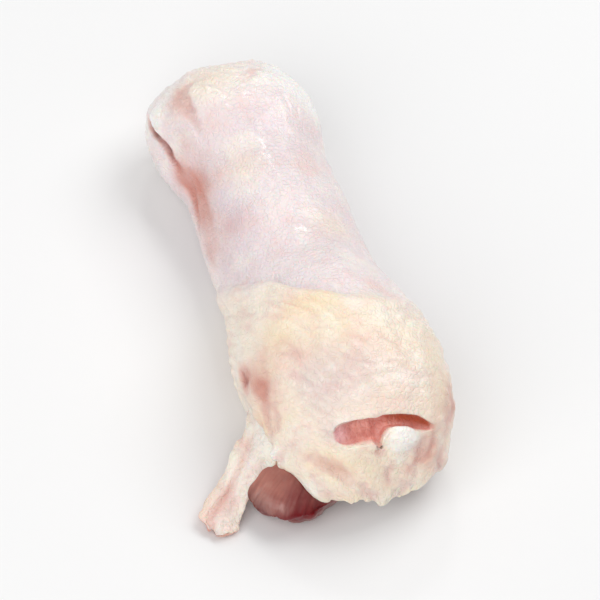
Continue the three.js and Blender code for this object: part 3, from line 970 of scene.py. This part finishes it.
STRIP_LENGTH, STRIP_HALF = 27, 5  # millimetres: roughly its length and half its width, laid flat
THIN_START, THICK_END, DENT = 0.5, 1.0, 0.5  # millimetres: half its thickness, and the dent
tangent = unit(np.gradient(path, axis=0))
across = unit(right_path - left_path)
up = unit(np.cross(tangent, across))
strip_share = np.linspace(0, 1, STRIP_ROWS)[:, None]
free = ease(strip_share, 0.12, 0.4)  # 0 where the strip still lies on the skin
strip_around = np.broadcast_to(angles(STRIP_COLUMNS), (STRIP_ROWS, STRIP_COLUMNS))
side = np.cos(strip_around)
upper = ease(np.sin(strip_around), -0.1, 0.3)
flat = np.stack([side * STRIP_HALF, strip_share * STRIP_LENGTH + 0 * side, 0 * side], -1)
edge_noise = rough(flat, 3.0, 3, 101)
torn = ease(strip_share, 0.8, 1) * (0.8 + 1.1 * rough(flat * [1, 0, 1], 3.4, 2, 105))
rounded = np.sqrt(np.clip(1 - np.abs(2 * strip_share - 1) ** 14, 0, 1))
half_width = np.linalg.norm(right_path - left_path, axis=-1)[:, None] / 2 * rounded
half_width = half_width * (1 + 0.14 * edge_noise * np.abs(side) ** 3)
dent = -DENT * hill(side + 0.25 + 0.15 * np.sin(9 * strip_share), 0, 0.22)
wave = (dent + 0.45 * np.sin(4 * strip_share + 2 * side) + 0.3 * rough(flat, 4.5, 2, 107)) * free
thick = lerp(THIN_START, THICK_END, free) * rounded * (0.85 + 0.15 * edge_noise)
sunk = lerp(-0.75, 0, free) - 0.9 * (1 - free) * ease(side, 0.1, 1)
lifted = thick * np.sin(strip_around) + wave * rounded + sunk
strip_base = path[:, None] + across[:, None] * (half_width * side)[..., None]
strip_base = strip_base + up[:, None] * lifted[..., None]
strip_base = strip_base - tangent[:, None] * torn[..., None]
strip_mounds, strip_pits = feather_roots(side * STRIP_HALF, strip_share * STRIP_LENGTH)
strip_relief = (0.16 * rough(strip_base, 2.4, 2, 111) + 0.16 * strip_mounds * upper) * rounded
strip_grid = strip_base + facing(strip_base) * strip_relief[..., None]
dented = hill(side, -0.3, 0.25) * free
strip_layers = {
    "fat": 0.85 + 0 * side,
    "yellow": 0.3 * np.abs(side) ** 4 + 0.3 * (1 - upper),
    # the strip's dent is flushed as painted shade
    "flush": 0.35 * lumps(flat, 5, 113) + 0.5 * (1 - upper) + 0.4 * dented,
    "lavender": 0.5 * lumps(flat, 6, 115),
    "flesh": 0.35 * (1 - upper),
    # painted shade in the strip's low places
    "valley": 0.5 - 2.5 * (strip_relief - 0.05),
    "mound": strip_mounds * upper,
    "pore": strip_pits * upper,
    "white": 0.25 + 0 * side,
}
strip_layers = {name: np.clip(values, 0, 1) for name, values in strip_layers.items()}
skin_strip = make_piece("skin_strip", strip_grid, strip_layers)

# %% [markdown]
# ## Bone and gristle
# The arm bone runs through the meat. What shows is the gristle on its two ends: pearly, bluish
# white and smooth, with a little blood where the meat was cut from it. The same lobes as in the
# solid model give it, on a finer grid and with a slight unevenness.

# %% The arm bone

BONE_COLUMNS, BONE_ROWS = 112, 150
bone_place = crowded(BONE_ROWS, [(0.08, 0.12, 1.5), (0.92, 0.12, 1.5)])[:, None] * 3
bone_around = np.broadcast_to(angles(BONE_COLUMNS), (BONE_ROWS, BONE_COLUMNS))
bone_place = np.broadcast_to(bone_place, bone_around.shape)
bone_base = surface(bone_lobes, bone_place, bone_around, 0 * bone_place, blend=BONE_BLEND)
bone_relief = 0.22 * rough(bone_base, 3.0, 3, 121)
bone_grid = bone_base + facing(bone_base) * bone_relief[..., None]
from_ends = ease(-np.abs(bone_base[..., 1]), -34, -26)
bone_layers = {"blood": ease(rough(bone_base, 4, 3, 131) + 0.25 * from_ends, 0.2, 0.7)}
arm_bone = make_piece("arm_bone", bone_grid, bone_layers, floor=BONE_FLOOR)

# %% [markdown]
# ## Fat
# Skin over the shoulder is backed by fat, and where it was cut the fat shows as a lumpy yellow
# band under the hem. It is a thick thread that follows the inside of the hem round the wing, with
# a radius that swells and shrinks, so that it bulges out in some places and hides in others.

# %% The band of fat under the hem

FAT_ROWS = 20
THIN_FAT, THICK_FAT = 0.45, 1.3  # millimetres: the thread's least radius, and how much it grows
fat_turn = np.arange(FAT_ROWS)[:, None] / FAT_ROWS * 2 * np.pi
inward = -unit(outer[-1] - outer[-4])
in_notch = bump(column_angles, 177, 20)
swollen = THIN_FAT + THICK_FAT * np.clip(rough(ring, 3.2, 2, 141) + 0.2, 0, 1) * (1 - in_notch)
ring_x, ring_y = ring[None, :, 0] + 0 * fat_turn, ring[None, :, 1] + 0 * fat_turn
fat_place = np.stack([ring_x, ring_y, 2 * np.cos(fat_turn) + 0 * swollen], -1)
radius = swollen * (1 + 0.3 * lumps(fat_place, 1.3, 145))
fat_middle = hem_edge[-1] + inward * (swollen + 0.15)[:, None] - out[-2] * (0.4 * swollen)[:, None]
fat_grid = fat_middle + out[-2] * (radius * np.cos(fat_turn))[..., None]
fat_grid = fat_grid - inward * (radius * np.sin(fat_turn))[..., None]
fat_layers = {"yellow": 0.5 + 0.5 * lumps(fat_place, 3, 147)}
hem_fat = make_piece("hem_fat", fat_grid, fat_layers, joined=True)

# %% [markdown]
# ## Writing shader maths as plain expressions
# Node trees are hard to read as links. A small class wraps a socket, and its operators add Math
# nodes, so that colours can be mixed with masks written as ordinary sums and products.

# %% A colour, and a socket that counts


def linear(red, green, blue):
    """A screen colour, from 0 to 255, as the linear colour that shaders use."""
    c = np.array([red, green, blue]) / 255
    c = np.where(c <= 0.04045, c / 12.92, ((c + 0.055) / 1.055) ** 2.4)
    return (*c.tolist(), 1.0)


class Value:
    """A socket that counts: +, - and * add a Math node, and between() a Map Range node."""

    def __init__(self, finish, socket):
        self.finish, self.socket = finish, socket

    def _math(self, operation, first, second):
        return self.finish.node("Math", {"operation": operation}, {0: first, 1: second})

    def __add__(self, other):
        return self._math("ADD", self, other)

    def __sub__(self, other):
        return self._math("SUBTRACT", self, other)

    def __rsub__(self, other):
        return self._math("SUBTRACT", other, self)

    def __mul__(self, other):
        return self._math("MULTIPLY", self, other)

    __radd__, __rmul__ = __add__, __mul__

    def between(self, low, high):
        """0 at low, 1 at high, eased between and clamped. Low may be the larger of the two."""
        inputs = {"Value": self, "From Min": low, "From Max": high}
        return self.finish.node("MapRange", {"interpolation_type": "SMOOTHSTEP"}, inputs)


print("middle grey on a screen is", round(linear(128, 128, 128)[0], 3), "to a shader")

# %% [markdown]
# ## One class for a finish
# Every material here has the same few parts: noise of a size in millimetres, values kept on the
# mesh, colours mixed over each other, and one shader that takes them. The class makes each with
# one call, and only inputs that may vary over a surface get links.

# %% The maker of finishes


class Finish:
    """One material: node() adds to it, and complete() ends it with its shader."""

    def __init__(self, name):
        self.material = bpy.data.materials.new(name)
        self.material.use_nodes = True
        self.tree = self.material.node_tree
        self.tree.nodes.clear()
        self.place = self.node("TexCoord", output="Object")

    def node(self, kind, settings=None, inputs=None, output=0):
        """Adds a node, sets its settings, then its inputs, and returns one output."""
        node = self.tree.nodes.new("ShaderNode" + kind)
        for key, value in (settings or {}).items():
            setattr(node, key, value)
        for key, value in (inputs or {}).items():
            if isinstance(value, Value):
                self.tree.links.new(value.socket, node.inputs[key])
            else:
                node.inputs[key].default_value = value
        return Value(self, node.outputs[output])

    def layer(self, name):
        """One of the values that a piece keeps as attributes."""
        return self.node("Attribute", {"attribute_name": name}, output="Fac")

    def clouds(self, size, detail):
        """Noise from 0 to 1 whose blotches are about this many millimetres across."""
        inputs = {"Vector": self.place, "Scale": 500 / size, "Detail": detail}
        return self.node("TexNoise", None, inputs)

    def cells(self, size):
        """Distance to the nearest border between irregular cells of about this size in mm."""
        inputs = {"Vector": self.place, "Scale": 1000 / size}
        return self.node("TexVoronoi", {"feature": "DISTANCE_TO_EDGE"}, inputs, "Distance")

    def mix(self, share, first, second):
        """Colours from first, where the share is 0, to second, where it is 1."""
        inputs = {0: share, 6: first, 7: second}
        return self.node("Mix", {"data_type": "RGBA", "clamp_factor": True}, inputs, output=2)

    def bumps(self, height, distance, strength):
        """A Bump node: a height from 0 to 1, and the distance in metres that 1 stands for."""
        inputs = {"Height": height, "Distance": distance, "Strength": strength}
        return self.node("Bump", None, inputs, "Normal")

    def complete(self, varied, constant):
        """Ends it with a Principled shader. Only the varied inputs may be links."""
        shader = self.node("BsdfPrincipled", None, {**constant, **varied})
        output = self.tree.nodes.new("ShaderNodeOutputMaterial")
        self.tree.links.new(shader.socket, output.inputs["Surface"])
        print(self.material.name, "is made of", len(self.tree.nodes), "nodes")
        return self.material


# %% [markdown]
# ## The skin's finish
# Raw skin is milky: light goes a millimetre or two in and comes out warmer, which subsurface
# scattering gives. Thin skin over muscle looks lavender pink, fat under the skin looks cream to
# yellow, and the creases and the seam are flushed orange pink as painted shade. Painted shade also
# darkens the valleys, the slashes and the band above the fold, and painted highlights lighten the
# mounds and the elbow's right edge. Each tone is mixed over the one before, with the values as
# shares. A clear coat of varied strength is the moisture on it.

# %% Tones of the skin

skin = Finish("moist_skin")
fat, yellow, flush, lavender = (skin.layer(name) for name in ("fat", "yellow", "flush", "lavender"))
flesh_share, ember, valley_shade_share = skin.layer("flesh"), skin.layer("ember"), skin.layer("valley")
mound, pore, white = skin.layer("mound"), skin.layer("pore"), skin.layer("white")
broad, middling, small = skin.clouds(9, 2), skin.clouds(3.0, 3), skin.clouds(0.9, 3)

milky, pink_milk = linear(243, 232, 232), linear(238, 223, 225)
cream, warm_cream = linear(250, 236, 220), linear(246, 226, 208)
thin_lavender, fatty_lavender = linear(220, 208, 220), linear(222, 202, 198)
# The white of tissue also serves for the painted highlights on the elbow's right edge.
rosy, pale, tissue_white_and_highlight = linear(240, 204, 197), linear(253, 245, 236), linear(255, 251, 247)
# The cream of the mounds is a painted highlight, and the pink of the valleys is painted shade.
fat_yellow, mound_highlight_cream = linear(249, 226, 180), linear(253, 245, 232)
valley_shade_pink, orange_pink = linear(226, 190, 184), linear(208, 138, 122)
pore_brown = linear(206, 160, 138)

thin_tone = skin.mix(broad.between(0.35, 0.65), milky, pink_milk)
# Lavender: thin skin over muscle, and the painted shadow band above the fold.
thin_tone = skin.mix(lavender * 0.75, thin_tone, thin_lavender)
fat_tone = skin.mix(broad.between(0.3, 0.7), cream, warm_cream)
fat_tone = skin.mix(lavender * 0.75, fat_tone, fatty_lavender)
tone = skin.mix(fat, thin_tone, fat_tone)
tone = skin.mix(middling.between(0.52, 0.74) * 0.5, tone, rosy)
tone = skin.mix(middling.between(0.5, 0.3) * 0.5, tone, pale)
# White tissue, and painted highlights along the elbow's right edge.
tone = skin.mix(white * 0.9, tone, tissue_white_and_highlight)
tone = skin.mix(yellow * 0.75 + fat * small.between(0.6, 0.8) * 0.25, tone, fat_yellow)
# Painted shade in the valleys, then a painted highlight on the mounds.
tone = skin.mix(valley_shade_share.between(0.45, 1.0) * 0.5, tone, valley_shade_pink)
tone = skin.mix(mound * 0.4, tone, mound_highlight_cream)
# Orange pink flushes, which in the creases and the seam are painted shade.
tone = skin.mix(flush * (0.45 + 0.7 * middling), tone, orange_pink)
tone = skin.mix(pore * 0.22, tone, pore_brown)

# %% [markdown]
# ## The flesh in the slit, and the wet surface
# In the slit and the deep creases the same skin mesh shows flesh, so its tones end in flesh
# colours there. The smallest grain is only a bump, because it is finer than the mesh.

# %% Moist skin

flesh_pink, deep_pink = linear(238, 162, 148), linear(212, 124, 112)
# The orange here is blood and painted shade under the slit's upper lip.
flesh_lavender, blood_and_shade_orange = linear(222, 176, 182), linear(186, 78, 38)
# The deep brown below is painted shade in the slashes.
slash_shade_brown = linear(104, 58, 46)
meat_tone = skin.mix(small.between(0.3, 0.7), flesh_pink, deep_pink)
meat_tone = skin.mix(lavender * 0.6, meat_tone, flesh_lavender)
# Blood and painted shade under the slit's upper lip.
meat_tone = skin.mix(ember * 0.95, meat_tone, blood_and_shade_orange)
tone = skin.mix(flesh_share, tone, meat_tone)
# Painted shade: the slashes are darkened to a deep brown.
tone = skin.mix(skin.layer("dark"), tone, slash_shade_brown)
grain = skin.clouds(0.35, 4) * 0.5 + skin.clouds(1.2, 3) * 0.3
grain = grain + skin.cells(0.9).between(0.0, 0.25) * 0.5
moist_skin = skin.complete(
    {
        "Base Color": tone,
        "Roughness": 0.24 + 0.26 * middling - 0.06 * flesh_share,
        "Coat Weight": broad.between(0.4, 0.62) * 0.4 + 0.1,
        "Normal": skin.bumps(grain, 0.00018, 0.9),
    },
    {
        "Subsurface Weight": 0.35,
        "Subsurface Radius": (1.0, 0.42, 0.28),
        "Subsurface Scale": 0.0022,
        "IOR": 1.42,
        "Coat Roughness": 0.14,
    },
)

# %% [markdown]
# ## The finish of the cut meat
# Cut muscle is darker and redder than skin, with pale sheaths between its bundles. Its hollows, its
# low parts and the parts close under the hem are darkened as painted shade, and low on its right it
# is nearly black red, which is blood and painted shade. A dark surface is ruled by what it
# reflects, so it has less gloss than the skin, and least of all where it is nearly black red.

# %% Cut flesh

flesh = Finish("cut_flesh")
blotch, patches, fine = (flesh.clouds(size, 3) for size in (5, 1.7, 0.6))
pale_streaks = flesh.layer("fibre").between(0.45, 0.9) * 0.15 + patches.between(0.45, 0.7) * 0.5
# Blood and painted shade, broken up by patches.
blood_and_shade = flesh.layer("blood") * (0.35 + 0.65 * patches.between(0.2, 0.55))
red = flesh.mix(blotch.between(0.3, 0.7), linear(190, 128, 114), linear(148, 82, 76))
red = flesh.mix(pale_streaks, red, linear(212, 160, 146))
# Painted shade in the hollows of the bundles.
red = flesh.mix(flesh.layer("bundle").between(0.45, 0.1) * 0.4, red, linear(110, 40, 42))
red = flesh.mix(flesh.layer("sheath") * 0.3, red, linear(220, 186, 176))
# Painted shade in the gaps between the bundles.
red = flesh.mix(flesh.layer("gap") * 0.25, red, linear(92, 26, 32))
# Painted shade low down and close under the hem.
red = flesh.mix(flesh.layer("low") * (0.45 + 0.8 * blotch), red, linear(92, 32, 34))
# Nearly black red: blood and painted shade.
red = flesh.mix(blood_and_shade, red, linear(114, 0, 12))
red = flesh.mix(flesh.layer("joint") * 0.8, red, linear(234, 204, 186))
cut_flesh = flesh.complete(
    {
        "Base Color": red,
        "Roughness": 0.28 + 0.2 * blotch,
        "Coat Weight": (blotch.between(0.3, 0.6) * 0.5 + 0.2) * (1 - blood_and_shade * 0.9),
        "Normal": flesh.bumps(fine, 0.0001, 0.8),
    },
    {
        "Specular IOR Level": 0.3,
        "Subsurface Weight": 0.25,
        "Subsurface Radius": (1.0, 0.3, 0.2),
        "Subsurface Scale": 0.0015,
        "Coat Roughness": 0.08,
    },
)

# %% [markdown]
# ## The finish of the gristle
# Gristle is close to porcelain: pearly, faintly blue, and so smooth that it mirrors the lights. A
# little blood from the cut stains it. Light goes deep into it, so it scatters more than the meat.

# %% Pearly gristle

gristle = Finish("pearly_gristle")
cloudy = gristle.clouds(4, 2)
pearl = gristle.mix(cloudy, linear(238, 230, 224), linear(216, 212, 220))
pearl = gristle.mix(gristle.layer("blood") * 0.7, pearl, linear(204, 138, 130))
pearly_gristle = gristle.complete(
    {"Base Color": pearl, "Roughness": 0.18 + 0.2 * cloudy, "Coat Weight": 0.5 + 0.4 * cloudy},
    {
        "Subsurface Weight": 0.4,
        "Subsurface Radius": (1.0, 0.6, 0.5),
        "Subsurface Scale": 0.002,
        "Coat Roughness": 0.06,
    },
)

# %% [markdown]
# ## The finish of the fat
# Fat is white to butter yellow, with rosy curds where small vessels run through it. It is soft and
# moist, so light goes deep into it and a clear coat gives it a gloss.

# %% Soft fat

soft = Finish("soft_fat")
curd = soft.clouds(1.4, 3)
butter = soft.mix(soft.layer("yellow"), linear(250, 242, 230), linear(246, 226, 184))
butter = soft.mix(curd.between(0.55, 0.8) * 0.4, butter, linear(236, 200, 186))
soft_fat = soft.complete(
    {
        "Base Color": butter,
        "Roughness": 0.25 + 0.2 * curd,
        "Coat Weight": 0.4 + 0.4 * curd,
        "Normal": soft.bumps(curd, 0.00025, 0.7),
    },
    {
        "Subsurface Weight": 0.4,
        "Subsurface Radius": (1.0, 0.7, 0.4),
        "Subsurface Scale": 0.002,
        "Coat Roughness": 0.08,
    },
)

# %% [markdown]
# ## Which solid each piece stands for
# The skin, the meat, the strip and the fat together stand for the solid meat, and the arm bone
# for the solid bone. All of them ride on the wing's one body.

# %% Ride and replace

dressed = [
    (wing_skin, moist_skin, "wing_meat", "skin"),
    (skin_strip, moist_skin, "wing_meat", "skin"),
    (cut_meat, cut_flesh, "wing_meat", "skin"),
    (arm_bone, pearly_gristle, "wing_bone", "gristle"),
    (hem_fat, soft_fat, "wing_meat", "skin"),
]
for piece, material, node, slot in dressed:
    piece.data.materials.append(material)
    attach(piece, "root")
    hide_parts(node)
print(len(dressed), "pieces ride on the wing")

# %% [markdown]
# ## The studio
# A pale floor and pale soft light, as for a shop's white background. The main light is large and
# comes from the upper right, a wide one fills the left, and a small one gives the moisture its
# sparkle. A point light would throw hard shadows, so all three are area lights.

# %% Floor and lights

FLOOR_SIZE = 6  # metres
LIT_POINT = Vector((0, 0, 0.01))  # metres, the middle of the wing, which the lights face
ROOM_LIGHT = 0.4  # strength of the light from all around
bpy.ops.mesh.primitive_plane_add(size=FLOOR_SIZE)
floor = bpy.context.object
floor.name = "floor"
pale_floor = Finish("pale_floor")
floor_look = {"Base Color": linear(240, 240, 240), "Roughness": 0.7, "Specular IOR Level": 0.2}
floor.data.materials.append(pale_floor.complete({}, floor_look))


def soft_light(name, place, size, power):
    """A square light that faces the wing: place and size in metres, power in watts."""
    light = bpy.data.lights.new(name, "AREA")
    light.size, light.energy = size, power
    lamp = bpy.data.objects.new(name, light)
    lamp.location = place
    lamp.rotation_euler = (LIT_POINT - Vector(place)).to_track_quat("-Z", "Y").to_euler()
    bpy.context.scene.collection.objects.link(lamp)
    print(name, "shines with", power, "W")


soft_light("key", (0.35, 0.15, 0.6), 0.5, 2.35)
soft_light("fill", (-0.45, -0.35, 0.5), 0.7, 3.3)
soft_light("sparkle", (0.1, 0.45, 0.5), 0.08, 0.3)
world = bpy.data.worlds.new("pale_room")
world.use_nodes = True
background = world.node_tree.nodes["Background"]
background.inputs["Color"].default_value = (1, 1, 1, 1)
background.inputs["Strength"].default_value = ROOM_LIGHT
scene = bpy.context.scene
scene.world = world
scene.view_settings.view_transform = "Standard"

# %% [markdown]
# ## The camera
# It looks steeply down at the shoulder end. A long lens from a metre away keeps the two ends in
# nearly the same scale. It is turned a little, so that the wing lies aslant, and the matrix is
# built from the three directions right, up and back.

# %% The camera

LOOK = Vector((0.292, 0.569, -0.769)).normalized()  # the way that the camera looks
AIM = Vector((0.0045, -0.0042, 0.0104))  # metres, the point in the middle of the picture
CAMERA_DISTANCE = 1.02  # metres
FOCAL_LENGTH = 370  # millimetres, a long lens
LEAN = np.radians(11.34)  # how far upright things lean to the right in the picture
upright = (Vector((0, 0, 1)) - LOOK * LOOK.z).normalized()
level = LOOK.cross(upright)
right = level * np.cos(LEAN) + upright * np.sin(LEAN)
top = upright * np.cos(LEAN) - level * np.sin(LEAN)
lens = bpy.data.cameras.new("camera")
lens.lens = FOCAL_LENGTH
lens.clip_start, lens.clip_end = 0.05, 20
camera = bpy.data.objects.new("camera", lens)
camera.matrix_world = Matrix((right, top, -LOOK)).transposed().to_4x4()
camera.location = AIM - LOOK * CAMERA_DISTANCE
scene.collection.objects.link(camera)
scene.camera = camera
print("camera", [round(c, 3) for c in camera.location])
